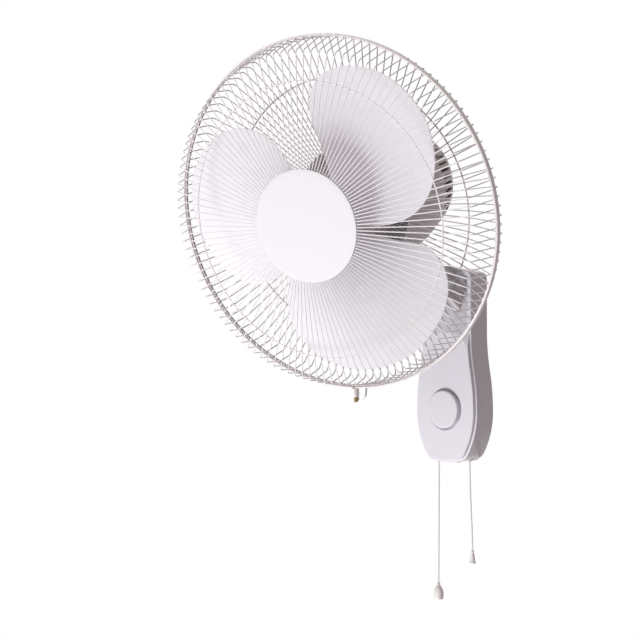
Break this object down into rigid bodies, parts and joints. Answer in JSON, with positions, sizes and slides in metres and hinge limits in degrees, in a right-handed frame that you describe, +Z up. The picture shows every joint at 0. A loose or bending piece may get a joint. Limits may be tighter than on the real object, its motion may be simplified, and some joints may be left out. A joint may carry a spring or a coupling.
{
  "type": "wall mounted fan",
  "caption": "Wall mounted fan whose guarded head tilts and swings on a neck arm above a slim wall housing with pull cords.",
  "frame": {"origin": "on the wall face at the middle of the wall plate's screw holes", "axes": "+Y into the wall, +Z up, +X to the right of someone facing the wall"},
  "size_m": [0.4334, 0.3868, 0.713],
  "materials": {
    "white_plastic": "smooth moulded, semi-gloss",
    "blade_plastic": "translucent white moulded plastic",
    "grey_plastic": "satin",
    "black_plastic": "matt",
    "guard_wire": "smooth enamel on steel wire",
    "hoop_band": "smooth enamel",
    "steel": "zinc plated",
    "aluminium": "die cast",
    "core_steel": "stacked laminations, lacquered",
    "copper": "enamelled winding wire",
    "brass_screw": "dull brass",
    "cord_cotton": "fine twisted cord"
  },
  "bodies": {
    "base": {"wall_plate": "steel", "rear_housing": "white_plastic", "front_housing": "white_plastic", "front_pad": "white_plastic", "round_cap": "white_plastic", "cover_screws": "steel", "terminal_block": "black_plastic", "capacitor": "black_plastic", "speed_switch": "grey_plastic", "swing_switch": "grey_plastic", "speed_cord_bush": "white_plastic", "swing_cord_bush": "white_plastic", "mains_gland": "black_plastic", "tilt_bracket": "white_plastic", "bracket_screws": "steel", "tilt_bolt": "steel", "tilt_nut": "steel"},
    "neck": {"neck_arm": "white_plastic", "swivel_post": "steel", "swing_sector": "grey_plastic"},
    "head": {"motor_frame": "aluminium", "motor_bridge": "aluminium", "front_bearing": "steel", "rear_bearing": "steel", "stator": "core_steel", "windings": "copper", "motor_cover": "white_plastic", "motor_screws": "steel", "swivel_socket": "aluminium", "swing_gearmotor": "black_plastic", "front_guard_wires": "guard_wire", "rear_guard_wires": "guard_wire", "front_guard_rings": "guard_wire", "rear_guard_rings": "guard_wire", "guard_plate": "guard_wire", "guard_nut": "grey_plastic", "hoop": "hoop_band", "hoop_clip": "white_plastic", "clip_screw": "brass_screw", "medallion": "white_plastic", "medallion_clamp": "white_plastic"},
    "rotor": {"shaft": "steel", "shaft_pin": "steel", "rotor_core": "core_steel", "impeller": "blade_plastic", "blade_nut": "grey_plastic"},
    "pinion": {"swing_pinion": "grey_plastic"},
    "speed_pull": {"speed_plunger": "white_plastic", "speed_cord": "cord_cotton", "speed_bell": "white_plastic"},
    "swing_pull": {"swing_plunger": "white_plastic", "swing_cord": "cord_cotton", "swing_bell": "white_plastic"}
  },
  "joints": [
    {"name": "tilt", "type": "hinge", "parent": "base", "child": "neck", "pos_m": [0, -0.05, 0.105], "axis": [1, 0, 0], "range_deg": [-16, 14]},
    {"name": "swing", "type": "hinge", "parent": "neck", "child": "head", "pos_m": [0, -0.17256, 0.21498], "axis": [0, -0.2756, 0.9613], "range_deg": [-56.5, 33.5]},
    {"name": "spin", "type": "hinge", "parent": "head", "child": "rotor", "pos_m": [0.02293, -0.28089, 0.18392], "axis": [0.1994, -0.942, -0.2701], "continuous": true},
    {"name": "pinion_turn", "type": "hinge", "parent": "head", "child": "pinion", "pos_m": [-0.00644, -0.14214, 0.2237], "axis": [0, -0.2756, 0.9613], "range_deg": [-110, 180]},
    {"name": "speed_pull_slide", "type": "slide", "parent": "base", "child": "speed_pull", "axis": [0, 0, -1], "range_m": [0, 0.012], "stiffness_N_per_m": 300, "springref_m": -0.003},
    {"name": "swing_pull_slide", "type": "slide", "parent": "base", "child": "swing_pull", "axis": [0, 0, -1], "range_m": [0, 0.012], "stiffness_N_per_m": 300, "springref_m": -0.003}
  ],
  "couplings": [
    {"joint": "pinion_turn", "follows": "swing", "ratio": -3}
  ]
}
